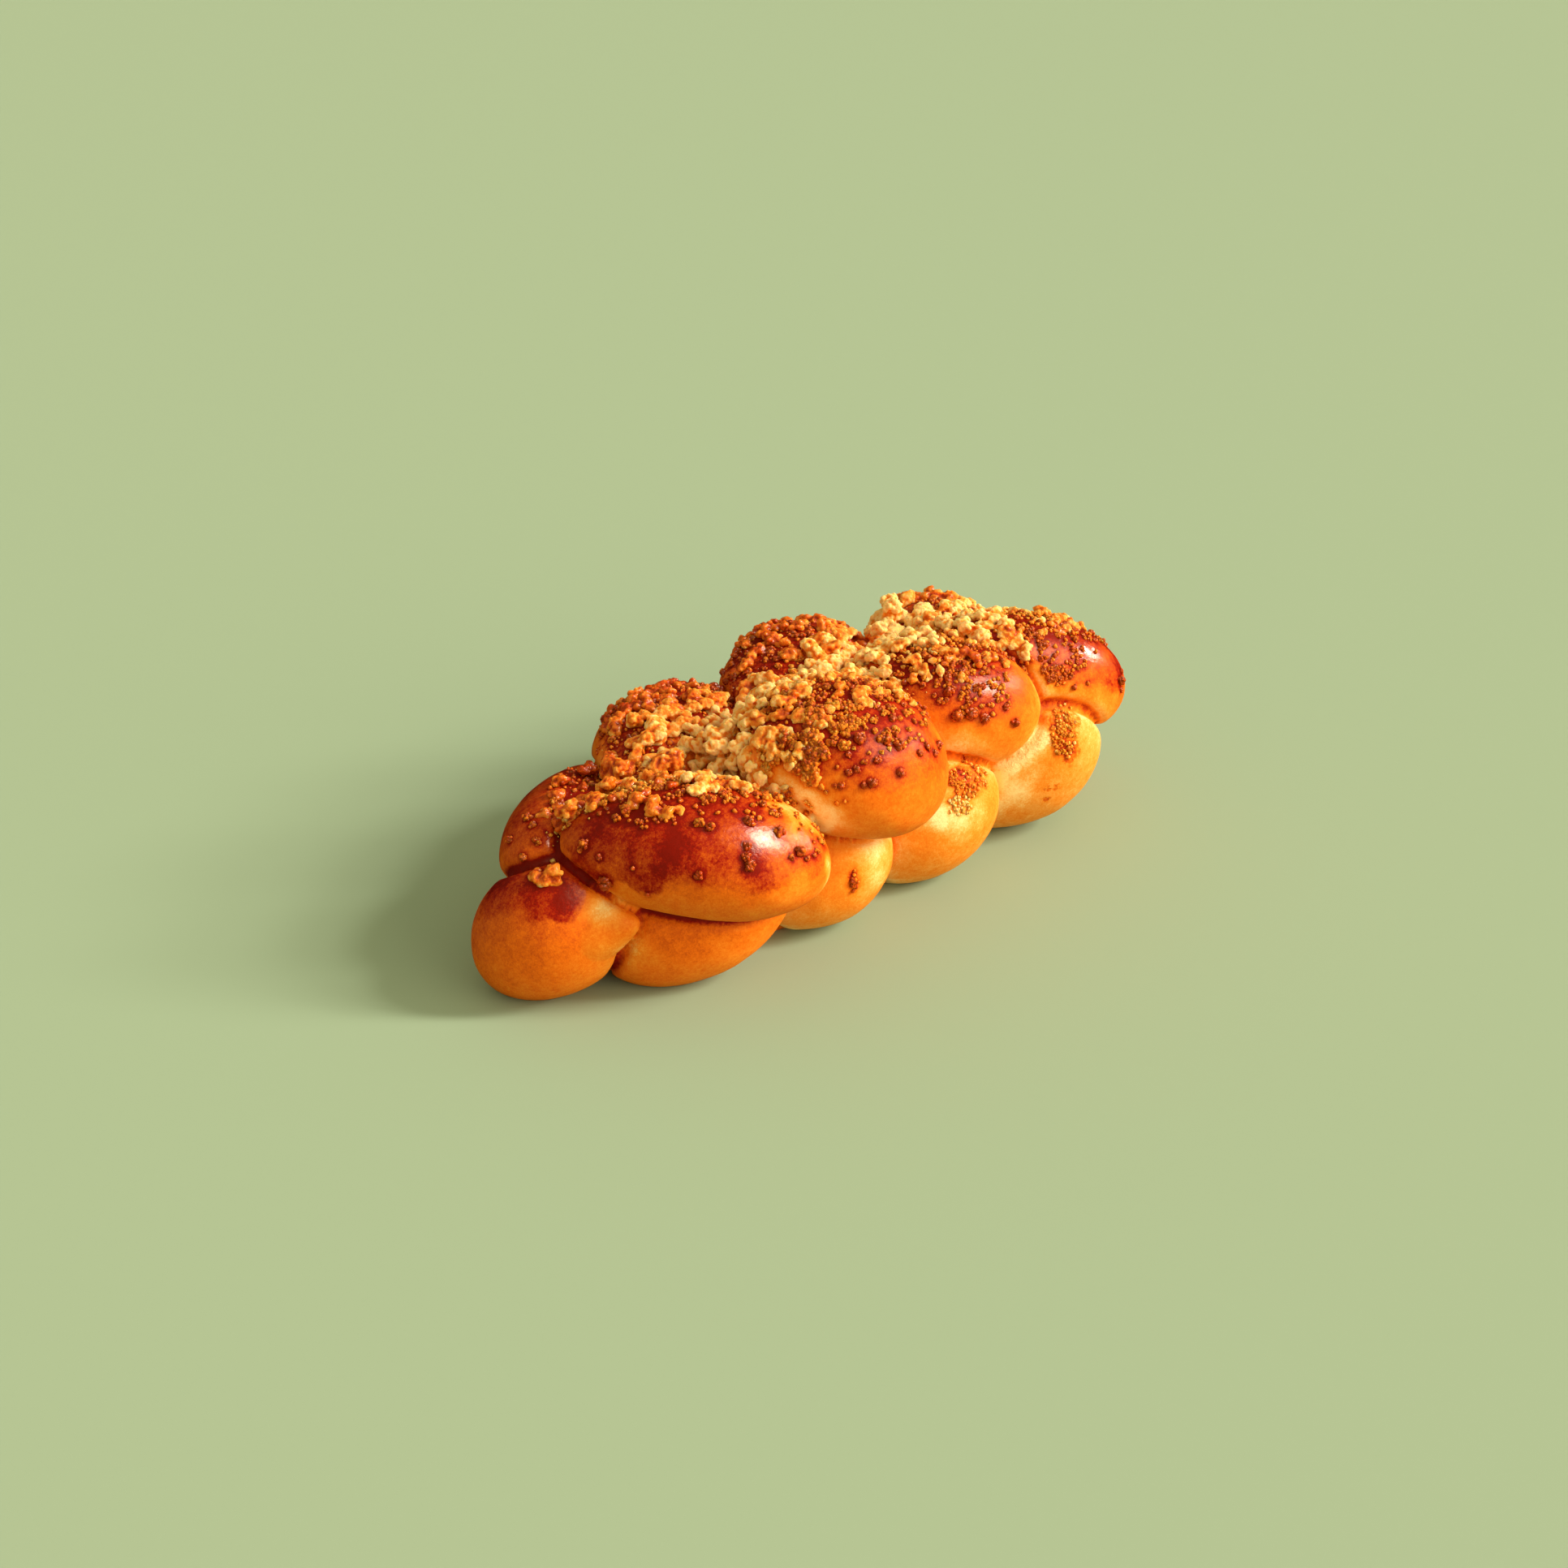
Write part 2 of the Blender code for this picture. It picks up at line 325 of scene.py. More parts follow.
# Each point of the skin belongs to its nearest swell. "crease" is how much further the next
# swell is, so it is 0 at the bottom of the crease between two of them.
names = list(swells)
away = np.stack([swell.distance(co) for swell in swells.values()])
below = normals(crust.data)[:, 2] < -0.6
for filler in FILLERS:
    away[names.index(filler), ~below] = 1.0
owner = away.argmin(axis=0)
nearest = away.min(axis=0)
away[owner, np.arange(len(co))] = 1.0
ball_parts = [names.index(part) for part in ONE_ROPE]
on_ball = np.isin(owner, ball_parts)
for part in ball_parts:
    away[part, on_ball] = 1.0
crease = np.maximum(away.min(axis=0) - nearest, 0)
lifted = np.clip(co[:, 2] / (3 * MM), 0, 1)
relief = UNEVEN_SKIN * wave(co, 24 * MM) + FINE_SKIN * wave(co, 7 * MM, 1)
relief -= CREASE_DEPTH * np.exp(-(crease / CREASE_WIDTH) ** 2)
co += normals(crust.data) * (relief * lifted)[:, None]
co[:, 2] = np.maximum(co[:, 2], 0)
set_corners(crust.data, co)

# --------------------------------------
# How the loaf took the heat. Each swell has its own browning (0 pale dough to 1 dark), the
# height in it above which it was brushed with egg, how thick and how shiny that lies, how pale
# the dough stayed beside another swell, and how dark the painted shade is at the bottom of the
# crease between them.
# --------------------------------------
BAKED_VALUES = ("brown", "brushed", "thick", "pale", "shine", "crease_shade")
BAKED = {
    "near_ball": (0.52, 0.86, 0.3, 0.0, 0.02, 0.6),
    "ball_tail": (0.50, 1.20, 0.3, 0.0, 0.2, 0.5),
    "upper_right_0": (0.52, 0.14, 0.41, 0.0, 0.35, 0.6),
    "upper_right_1": (0.50, 0.28, 0.2, 0.6, 0.1, 0.45),
    "upper_right_2": (0.5, 0.25, 0.22, 0.5, 0.15, 0.5),
    "upper_right_3": (0.53, 0.32, 0.5, 0.5, 0.15, 0.5),
    "upper_left_0": (0.52, 0.05, 0.35, 0.1, 0.4, 0.5),
    "upper_left_1": (0.44, 0.15, 0.1, 0.4, 0.4, 0.2),
    "upper_left_2": (0.44, 0.15, 0.1, 0.4, 0.4, 0.2),
    "upper_left_3": (0.42, 0.2, 0.1, 0.4, 0.4, 0.2),
    "lower_right_0": (0.52, 2.0, 0.4, 0.0, 0.2, 0.4),
    "lower_right_1": (0.43, 2.0, 0.2, 0.7, 0.4, 0.4),
    "lower_right_2": (0.42, 2.0, 0.2, 0.8, 0.4, 0.3),
    "lower_right_3": (0.4, 2.0, 0.2, 0.6, 0.4, 0.35),
    "lower_left_0": (0.50, 2.0, 0.3, 0.5, 0.4, 0.2),
    "lower_left_1": (0.45, 2.0, 0.3, 0.8, 0.4, 0.2),
    "lower_left_2": (0.45, 2.0, 0.3, 0.8, 0.4, 0.2),
    "lower_left_3": (0.45, 2.0, 0.3, 0.8, 0.4, 0.2),
    "far_tuck": (0.44, 2.0, 0.2, 0.6, 0.4, 0.2),
    "heart": (0.25, 2.0, 0.0, 1.0, 0.4, 0.2),
    "underside": (0.58, 2.0, 0.0, 0.2, 0.4, 0.2),
}
PALE_REACH = 7 * MM  # how far the pale dough shows beside a crease
GROOVE_Y = 1.8 * MM  # the groove between the two rows of swells
GROOVE_PALE = 15 * MM  # how far from it the heap kept the dough pale
BRUSH_WAVES = 0.20  # unevenness of the egg's lower edge, in the swell's height
GROOVE_START = (-75 * MM, -45 * MM) # where along the loaf the heap begins
FAR_SIDE = (28 * MM, 48 * MM)  # how far across the loaf its far side begins
FAR_BRUSHED = (24 * MM, 48 * MM)  # heights between which the egg begins there
FAR_CREASE_SHADE = (30 * MM, 42 * MM)  # how far across the painted crease shade grows faint

heights = np.zeros(len(co))
for k, swell in enumerate(swells.values()):
    mine = owner == k
    heights[mine] = swell.round_place(co[mine])[:, 2]


def by_swell(key):
    """A value of BAKED at every corner of the crust."""
    column = BAKED_VALUES.index(key)
    table = np.array([BAKED[name][column] for name in swells])
    return table[owner]


in_groove = np.exp(-((co[:, 1] - GROOVE_Y) / GROOVE_PALE) ** 2)
in_groove = in_groove * step_up(normals(crust.data)[:, 2], 0.2, 0.6)
in_groove *= step_up(co[:, 0], *GROOVE_START)
brown = by_swell("brown") + 0.16 * heights + 0.06 * wave(co, 30 * MM, 2) - 0.26 * in_groove
pale = by_swell("pale") * np.exp(-crease / PALE_REACH) * (1 + 0.5 * wave(co, 12 * MM, 3))
brushed = heights - by_swell("brushed") + BRUSH_WAVES * wave(co, 16 * MM, 4) + 0.07 * wave(co, 5 * MM, 5)
brushed -= 1.0 * in_groove
thick = by_swell("thick") + 0.38 * wave(co, 14 * MM, 6)
far_side = step_up(co[:, 1], *FAR_SIDE)
thick += 0.25 * far_side
brushed += far_side * (1.4 * step_up(co[:, 2], *FAR_BRUSHED) - 0.9)

# Patches seen on the real crust, by the pixel at their middle, their radius in mm, and how
# much they add: spilt egg that burnt dark, dough that tore open and stayed pale, and one painted highlight
# on the near ball.
SPILT = [
    (826, 1048, 7, 0.6), (812, 1070, 5, 0.35), (735, 1025, 9, 0.48), (770, 1005, 9, 0.5),
    (812, 998, 8, 0.45), (700, 1108, 9, 0.55), (615, 1094, 7, 0.2), (655, 1098, 9, 0.4),
    (790, 1088, 5, 0.35), (850, 1042, 9, 0.42), (745, 1040, 9, 0.42), (728, 1075, 7, 0.45),
    (885, 1072, 7, 0.3), (775, 1038, 8, 0.45), (861, 1080, 3, 0.5), (926, 1064, 6, 0.45),
    (745, 1092, 7, 0.5), (1190, 830, 8, 0.3), (1300, 780, 8, 0.3), (1376, 832, 5, 0.15),
]
BRUSHED_TOO = [
    (703, 1110, 8, 0.8), (612, 1097, 8, 0.4), (790, 1088, 6, 0.7), (655, 1105, 7, 0.4),
    (740, 1070, 13, 0.55), (861, 1082, 3, 0.5), (1052, 1082, 5, 2.5), (1376, 835, 5, 0.5),
    (1295, 985, 4, 2.3), (1000, 1120, 3, 2.2),
]
# The first spot, on the near ball, is a painted highlight; the rest is dough left pale.
PALE_DOUGH_AND_HIGHLIGHT = [
    (745, 1120, 6, 1), (975, 996, 11, 1.2), (1010, 1005, 8, 1), (1000, 1016, 6, 0.9),
    (1022, 1062, 4, 0.4), (1019, 1086, 4, 0.7), (1280, 842, 8, 0.6), (1182, 1000, 8, 0.9),
    (1182, 918, 7, 0.6), (985, 990, 9, 1.2), (1078, 1045, 8, 0.6), (1155, 905, 5, 0.4),
    (985, 1085, 7, 0.15), (1080, 1080, 7, 0.5), (1000, 1000, 5, 1.2), (1315, 872, 8, 0.5),
    (1345, 885, 7, 0.3), (1232, 965, 6, 0.7), (1250, 975, 8, 0.7), (1000, 985, 7, 0.8),
]
TORN = [
    (778, 1165, 7, 0.55), (1272, 908, 6, 1), (1257, 928, 5, 0.9), (1244, 945, 4, 0.8),
    (1005, 1012, 5, 0.6), (1150, 1012, 4, 0.5), (1020, 1065, 3, 0.5),
]
GLOSSY = [
    (942, 1024, 5.5, 1), (1343, 803, 4.5, 1), (1227, 847, 5, 0.8),
]

bpy.context.view_layer.update()
crust_faces = [p.vertices[:] for p in crust.data.polygons]
crust_tree = BVHTree.FromPolygons([Vector(c) for c in co], crust_faces)


def on_crust(x, y):
    """Place and outward direction on the crust at a pixel of the picture."""
    place, normal, _, _ = crust_tree.ray_cast(camera_place, pixel_ray(x, y))
    return place, normal


def patches(marks):
    """At every corner of the crust, how much the marks add."""
    total = np.zeros(len(co))
    for x, y, radius, amount in marks:
        place, _ = on_crust(x, y)
        away = np.linalg.norm(co - np.array(place), axis=1) / (radius * MM) * (1 + 0.5 * ragged)
        total = np.maximum(total, amount * np.exp(-away ** 2))
    return total


ragged = wave(co, 6 * MM, 7)
thick = np.clip(thick + patches(SPILT), 0, 1.2)
brushed = brushed + patches(BRUSHED_TOO) - patches(PALE_DOUGH_AND_HIGHLIGHT)
torn = patches(TORN)
paint(crust.data, "brown", np.clip(brown, 0, 1))
# pale dough, torn dough and one painted highlight on the near ball
paint(crust.data, "pale", np.clip(pale + torn + patches(PALE_DOUGH_AND_HIGHLIGHT), 0, 1))
paint(crust.data, "brushed", brushed)
paint(crust.data, "thick", thick)
paint(crust.data, "crease", crease / MM)
paint(crust.data, "torn", torn)
paint(crust.data, "shine", np.clip(by_swell("shine") * 0.4 + patches(GLOSSY), 0, 1))
# painted shade: how dark each crease bottom is painted, fainter toward the far side
crease_shade = by_swell("crease_shade") - 0.3 * step_up(co[:, 1], *FAR_CREASE_SHADE)
paint(crust.data, "crease_shade", np.maximum(crease_shade, 0.1))


# --------------------------------------
# Colours of baking, for dough and streusel alike: butter-pale, golden, orange, chestnut and
# nearly black, as sugar and egg brown in the oven.
# --------------------------------------
BROWNING = [
    (0.00, (0.88, 0.63, 0.25)),
    (0.12, (0.85, 0.46, 0.13)),
    (0.22, (0.83, 0.325, 0.05)),
    (0.35, (0.79, 0.220, 0.013)),
    (0.52, (0.72, 0.128, 0.003)),
    (0.62, (0.58, 0.088, 0.003)),
    (0.72, (0.44, 0.044, 0.002)),
    (0.83, (0.29, 0.007, 0.001)),
    (1.00, (0.07, 0.002, 0.001)),
]


def feed(tree, made, inputs):
    """Gives a node its inputs, each a value or another node's output."""
    for key, value in inputs.items():
        if isinstance(value, bpy.types.NodeSocket):
            tree.links.new(value, made.inputs[key])
        else:
            made.inputs[key].default_value = value


def add(tree, kind, inputs=None, **settings):
    """Adds a node with its settings and its inputs, each a value or another node's output."""
    made = tree.nodes.new("ShaderNode" + kind)
    for key, value in settings.items():
        setattr(made, key, value)
    feed(tree, made, inputs or {})
    return made


def speckle(tree, size, detail=2.0, roughness=0.5, stretch=(1, 1, 1)):
    """Noise from 0 to 1 in the object's own coordinates, size in metres."""
    place = add(tree, "TexCoord").outputs["Object"]
    scaled = add(tree, "Mapping", {"Vector": place, "Scale": stretch}).outputs["Vector"]
    return add(tree, "TexNoise", {"Vector": scaled, "Scale": 1 / size, "Detail": detail,
                                  "Roughness": roughness}).outputs["Fac"]


def spots(tree, size, feature="F1"):
    """Distance from scattered points in the object's own coordinates, size in metres."""
    place = add(tree, "TexCoord").outputs["Object"]
    made = add(tree, "TexVoronoi", {"Vector": place, "Scale": 1 / size}, feature=feature)
    return made.outputs["Distance"]


def attribute(tree, name):
    return add(tree, "Attribute", attribute_name=name).outputs["Fac"]


def maths(tree, operation, a, b=0.0, c=0.0, clamp=False):
    return add(tree, "Math", {0: a, 1: b, 2: c}, operation=operation, use_clamp=clamp).outputs["Value"]


def scaled(tree, value, by, plus=0.0, clamp=False):
    """The value times another, plus a third."""
    return maths(tree, "MULTIPLY_ADD", value, by, plus, clamp)


def summed(tree, start, *terms):
    """The start, plus each term's two values multiplied."""
    for value, by in terms:
        start = scaled(tree, value, by, start)
    return start


def between(tree, value, low, high, to_low=0.0, to_high=1.0):
    """Smooth step of a value from low to high."""
    return add(tree, "MapRange", {"Value": value, "From Min": low, "From Max": high, "To Min": to_low,
                                  "To Max": to_high}, interpolation_type="SMOOTHSTEP").outputs["Result"]


def browning_group():
    """Node group: an amount of baking from 0 to 1 in, the colour that it gives out."""
    group = bpy.data.node_groups.new("browning", "ShaderNodeTree")
    group.interface.new_socket("Baked", in_out="INPUT", socket_type="NodeSocketFloat")
    group.interface.new_socket("Color", in_out="OUTPUT", socket_type="NodeSocketColor")
    entry = group.nodes.new("NodeGroupInput")
    leave = group.nodes.new("NodeGroupOutput")
    ramp = group.nodes.new("ShaderNodeValToRGB")
    stops = ramp.color_ramp.elements
    while len(stops) < len(BROWNING):
        stops.new(0.5)
    for stop, (at, colour) in zip(stops, BROWNING):
        stop.position = at
        stop.color = (*colour, 1.0)
    group.links.new(entry.outputs["Baked"], ramp.inputs["Fac"])
    group.links.new(ramp.outputs["Color"], leave.inputs["Color"])
    return group


browning = browning_group()


def baked_colour(tree, amount):
    made = tree.nodes.new("ShaderNodeGroup")
    made.node_tree = browning
    tree.links.new(amount, made.inputs["Baked"])
    return made.outputs["Color"]


def new_material(name):
    material = bpy.data.materials.new(name)
    material.use_nodes = True
    return material, material.node_tree, material.node_tree.nodes["Principled BSDF"]


# The crust: soft matte dough below, browned egg glaze above with a crisp uneven lower edge,
# pale dough in the creases and torn places, a dry brown underside.
GRAIN = 0.55 * MM  # pores of the dough
MOTTLE = 6 * MM  # faint clouds of browning
BLISTER = 1.6 * MM  # bubbles under the glaze
DUST = 1.5 * MM  # grains of streusel dust baked into the glaze
EDGE_WIDTH = 0.11  # softness of the glaze's edge, in the swell's height
STAIN, STAIN_WIDTH = 0.74, 0.34  # thickness where egg burns dark, and how softly that begins
DARKEST = 0.90  # most that the crust has browned


def crust_material():
    material, tree, shader = new_material("crust")
    mottle = speckle(tree, MOTTLE, 5, 0.65)
    grain = speckle(tree, GRAIN, 3, 0.6)
    blister = spots(tree, BLISTER, "SMOOTH_F1")
    dust = spots(tree, DUST)
    edge = scaled(tree, speckle(tree, 5 * MM, 7, 0.65), 0.50, -0.25)
    glaze = between(tree, maths(tree, "ADD", attribute(tree, "brushed"), edge), -EDGE_WIDTH, EDGE_WIDTH)
    depth = scaled(tree, speckle(tree, 8 * MM, 8, 0.7), 1.0, -0.50)
    depth = scaled(tree, speckle(tree, 1.3 * MM, 3, 0.6), 0.5, depth)
    depth = maths(tree, "SUBTRACT", maths(tree, "ADD", attribute(tree, "thick"), depth), 0.25)
    stain = between(tree, depth, STAIN - STAIN_WIDTH, STAIN + STAIN_WIDTH)
    depth = between(tree, depth, -0.1, 1.2, 0.05, 0.18)
    depth = scaled(tree, stain, 0.18, depth)
    dusted = scaled(tree, speckle(tree, 3 * MM, 5, 0.7), 0.9, -0.45)
    dusted = between(tree, maths(tree, "ADD", attribute(tree, "dusted"), dusted), 0.42, 0.58)

    torn = attribute(tree, "torn")
    grains = scaled(tree, dust, 0.28, 0.05)
    streaks = speckle(tree, 1.1 * MM, 3, 0.7, (0.3, 1, 1))
    streaky = scaled(tree, streaks, 0.9, -0.50)
    # painted shade along the bottom of each crease, left out where the dough tore
    crease_shade = between(tree, attribute(tree, "crease"), 0.6, 2.2, 1.0, 0.0)
    crease_shade = maths(tree, "MULTIPLY", crease_shade, maths(tree, "SUBTRACT", 1.0, torn, clamp=True))
    baked = maths(tree, "ADD", attribute(tree, "brown"), scaled(tree, mottle, 0.30, -0.15))
    baked = summed(tree, baked, (grain, 0.30), (speckle(tree, 1.4 * MM, 2), 0.24))
    baked = maths(tree, "SUBTRACT", baked, 0.27)
    # painted shade: the crumb-foot term darkens the crust round crumbs
    baked = summed(tree, baked, (attribute(tree, "pale"), -0.45), (attribute(tree, "crumb_foot_shade"), 0.26),
                   (glaze, depth), (dusted, grains), (torn, streaky), (crease_shade, attribute(tree, "crease_shade")))
    baked = maths(tree, "MINIMUM", maths(tree, "MAXIMUM", baked, 0.0), DARKEST)

    dry = scaled(tree, grain, 0.2, 0.46)
    wet = scaled(tree, speckle(tree, 2 * MM, 3), 0.20, 0.26)
    softer = maths(tree, "SUBTRACT", wet, dry)
    shine = maths(tree, "MULTIPLY", glaze, attribute(tree, "shine"))
    patchy = between(tree, speckle(tree, 3.5 * MM, 5, 0.65), 0.30, 0.62, 0.20, 0.90)

    relief = summed(tree, maths(tree, "MULTIPLY", grain, 0.45),
                    (blister, maths(tree, "MULTIPLY", glaze, 0.5)),
                    (dust, maths(tree, "MULTIPLY", dusted, -1.6)),
                    (streaks, maths(tree, "MULTIPLY", torn, 5.0)))
    bump = add(tree, "Bump", {"Height": relief, "Strength": 0.7, "Distance": 0.25 * MM})
    feed(tree, shader, {
        "Base Color": baked_colour(tree, baked), "Roughness": scaled(tree, softer, glaze, dry),
        "Coat Weight": maths(tree, "MULTIPLY", shine, patchy), "Coat Roughness": 0.14, "Coat IOR": 1.9,
        "Specular IOR Level": 0.12, "Specular Tint": (1.0, 0.80, 0.60, 1.0),
        "Normal": bump.outputs["Normal"], "Coat Normal": bump.outputs["Normal"]})
    return material


# --------------------------------------
# The streusel: butter, flour and sugar rubbed to crumbs. It is heaped in the groove along the
# top, in lumps that melted together, and thins out over the swells beside it into toasted
# granules. A lump is a cluster of small grains under one skin; a granule is a grain by itself.
# --------------------------------------
SEED = 18
GRAIN_SIZE = (0.55 * MM, 1.30 * MM)  # radius of the grains in a lump
GRAIN_SPREAD = 0.60  # grains in a lump, for each square mm of its size squared
LUMP_SKIN = 0.47 * MM  # size of a face on a lump
KEPT = 0.53  # share of a lump's faces kept where it is smooth
HOLLOW_REACH = 10  # faces across which a crevice is felt
UP = Vector((0, 0, 1))
rng = Random(SEED)


def round_template(splits):
    made = bmesh.new()
    bmesh.ops.create_icosphere(made, subdivisions=splits, radius=1.0)
    points = np.array([v.co[:] for v in made.verts])
    faces = np.array([[v.index for v in f.verts] for f in made.faces])
    made.free()
    return points, faces


def any_way(upward, least):
    """A random direction that points at most a little into what lies below."""
    way = Vector([rng.gauss(0, 1) for _ in range(3)]).normalized()
    rise = way.dot(upward)
    return way if rise > least else way - 2 * rise * upward


class Heap:
    """Many small grains, each with a place, a radius, how toasted it is and which way is up."""

    def __init__(self):
        self.places, self.sizes, self.toasts, self.ways = [], [], [], []

    def grain(self, place, radius, toast, way=UP):
        self.places.append(place)
        self.sizes.append(radius)
        self.toasts.append(toast)
        self.ways.append(way)

    def lump(self, place, normal, size, toast, flat=1.0):
        """A lump: four cores side by side, small grains all over them; flat presses it down."""
        def pressed(way):
            return way - normal * way.dot(normal) * (1 - flat)

        cores = []
        for _ in range(4):
            aside = Vector([rng.uniform(-1, 1) for _ in range(3)]) * size * 0.30
            cores.append((place + pressed(aside), size * rng.uniform(0.17, 0.26)))
            self.grain(*cores[-1], toast + 0.1)
        for _ in range(int(4 + GRAIN_SPREAD * (size / MM) ** 2)):
            way = any_way(normal, -0.2)
            core, radius = rng.choice(cores)
            tip = 0.16 * (way.z - 0.3) + rng.uniform(-0.10, 0.10)
            out = pressed(way) * radius * rng.uniform(0.9, 1.15)
            self.grain(core + out, rng.uniform(*GRAIN_SIZE), toast + tip, way)

    def mesh(self, name, template, jitter):
        """All grains as one mesh, each turned, stretched and dented its own way."""
        points, faces = template
        dents = np.random.default_rng(SEED)
        everything, all_faces = [], []
        for k, (place, size) in enumerate(zip(self.places, self.sizes)):
            turn = np.array(Euler(dents.uniform(0, 2 * pi, 3)).to_matrix())
            stretch = dents.uniform(1 - 1.3 * jitter, 1 + 0.7 * jitter, 3)
            dent = dents.uniform(1 - jitter, 1 + jitter, (len(points), 1))
            everything.append((points * dent * stretch) @ turn.T * size + np.array(place))
            all_faces.append(faces + k * len(points))
        mesh = bpy.data.meshes.new(name)
        mesh.from_pydata(np.concatenate(everything).tolist(), [], np.concatenate(all_faces).tolist())
        mesh.shade_smooth()
        return mesh

    def parted(self, size):
        """Two heaps: the grains larger than a size, and the rest."""
        parts = Heap(), Heap()
        for one in zip(self.places, self.sizes, self.toasts, self.ways):
            parts[one[1] < size].grain(*one)
        return parts

    def tree(self):
        tree = KDTree(len(self.places))
        for k, place in enumerate(self.places):
            tree.insert(place, k)
        tree.balance()
        return tree

    def toast_at(self, points):
        """How toasted the grain nearest to each point is."""
        tree = self.tree()
        found = []
        for point in points:
            best = min(tree.find_n(point, 3), key=lambda n: n[2] / self.sizes[n[1]])
            found.append(self.toasts[best[1]])
        return np.array(found)

    def gap_at(self, points, own=None):
        """Distance from each point to the nearest grain, leaving out the grain it belongs to."""
        tree = self.tree()
        found = np.empty(len(points))
        for k, point in enumerate(points):
            near = [n for n in tree.find_n(point, 4) if own is None or n[1] != own[k]]
            found[k] = min(n[2] - self.sizes[n[1]] for n in near)
        return found


def above(x, y):
    """Place and outward direction of the crust straight below a point."""
    place, normal, _, _ = crust_tree.ray_cast(Vector((x, y, 0.2)), -UP)
    return place, normal


def hollows(mesh):
    """How deep each corner lies between its neighbours, from -1 on a tip to 1 in a crevice."""
    ends = np.empty(len(mesh.edges) * 2, np.int32)
    mesh.edges.foreach_get("vertices", ends)
    one, two = ends.reshape(-1, 2).T
    sharp = corners(mesh)
    smooth = sharp
    count = np.bincount(ends, minlength=len(sharp))[:, None]
    for _ in range(HOLLOW_REACH):
        total = np.zeros_like(smooth)
        np.add.at(total, one, smooth[two])
        np.add.at(total, two, smooth[one])
        smooth = total / count
    depth = np.einsum("ij,ij->i", smooth - sharp, normals(mesh))
    return np.clip(depth / (0.45 * MM), -1, 1)


def streusel_material():
    """Matte and pale where it is hardly baked, glossy with melted sugar where it is dark."""
    material, tree, shader = new_material("streusel")
    crumb = speckle(tree, 0.7 * MM, 4, 0.7)
    cells = spots(tree, 1.1 * MM)
    clouds = speckle(tree, 4 * MM, 3)
    toast = maths(tree, "ADD", attribute(tree, "toast"), scaled(tree, clouds, 0.26, -0.13))
    # painted shade: darker and redder in crevices, paler on tips
    baked = summed(tree, toast, (attribute(tree, "crevice_shade"), 0.27), (crumb, 0.10), (cells, 0.06))
    baked = maths(tree, "SUBTRACT", baked, 0.055)
    baked = maths(tree, "MINIMUM", maths(tree, "MAXIMUM", baked, 0.09), 0.72)
    rough = scaled(tree, toast, -0.60, 0.78)
    relief = scaled(tree, cells, -1.2, crumb)
    bump = add(tree, "Bump", {"Height": relief, "Strength": 0.55, "Distance": 0.5 * MM})
    feed(tree, shader, {
        "Base Color": baked_colour(tree, baked), "Roughness": scaled(tree, crumb, 0.2, rough, clamp=True),
        "Coat Weight": between(tree, toast, 0.50, 0.75, 0.0, 0.6), "Coat Roughness": 0.2,
        "Specular IOR Level": 0.15, "Subsurface Weight": 0.5, "Subsurface Radius": (1.0, 0.4, 0.1),
        "Subsurface Scale": 3.5 * MM, "Normal": bump.outputs["Normal"]})
    return material


streusel = streusel_material()
grain_shape = round_template(2)
fine_shape = round_template(1)


def streusel_piece(name, heap, shape, jitter):
    piece = new_piece(name, heap.mesh(name, shape, jitter))
    piece.data.materials.append(streusel)
    return piece


def fused(name, heap):
    """Makes a piece of a heap of lumps: all grains under one skin."""
    piece = streusel_piece(name, heap, grain_shape, 0.14)
    one_skin(piece, LUMP_SKIN)
    co = corners(piece.data)
    rough = 0.22 * wave(co, 1.5 * MM, 11) + 0.12 * wave(co, 0.8 * MM, 12)
    set_corners(piece.data, co + normals(piece.data) * rough[:, None] * MM)
    piece.modifiers.new("fewer", "DECIMATE").ratio = KEPT
    applied(piece)
    piece.data.materials.clear()
    piece.data.materials.append(streusel)
    paint(piece.data, "toast", np.clip(heap.toast_at(corners(piece.data)), 0, 1))
    # painted shade in a lump's crevices, painted light on its tips
    paint(piece.data, "crevice_shade", hollows(piece.data))


def loose(name, heap, shape):
    """Makes a piece of separate granules, with painted shade toward each one's foot and in the gaps
    between them.
    """
    piece = streusel_piece(name, heap, shape, 0.26)
    co = corners(piece.data)
    each = len(shape[0])
    own = np.repeat(np.arange(len(heap.places)), each)
    rise = np.einsum("ij,ij->i", co - np.array(heap.places)[own], np.array(heap.ways)[own])
    foot = np.clip(0.45 - rise / np.array(heap.sizes)[own], 0, 1)
    crevice = np.exp(-(heap.gap_at(co, own) / (0.35 * MM)) ** 2)
    paint(piece.data, "toast", np.clip(np.array(heap.toasts)[own], 0, 1))
    # painted shade toward each granule's foot and in the gaps between granules
    paint(piece.data, "crevice_shade", np.maximum(foot, crevice) * 1.4 - 0.6)


# In the groove: lumps in layers from its bottom nearly to the level of the swells, pale where
# they lie deep or at the far end, golden on top and toward the near end.
GROOVE_ENDS = (-84 * MM, 122 * MM)
HEAP_STEP = 8 * MM
HEAP_HALF_WIDTH = 18 * MM
HEAP_LUMP = (7 * MM, 16 * MM)
SMALL_LUMP = (3 * MM, 6.5 * MM)
LAYER = 6 * MM  # from one lump to the next above it
LOWEST = 30 * MM  # lumps are stacked only on crust above this


def heap_level(x):
    """Height of the heap's surface in the groove: just under the lower swell beside it."""
    sides = [above(x, GROOVE_Y + aside)[0] for aside in (-16 * MM, 16 * MM)]
    return min([place.z for place in sides if place] or [0]) - 1 * MM


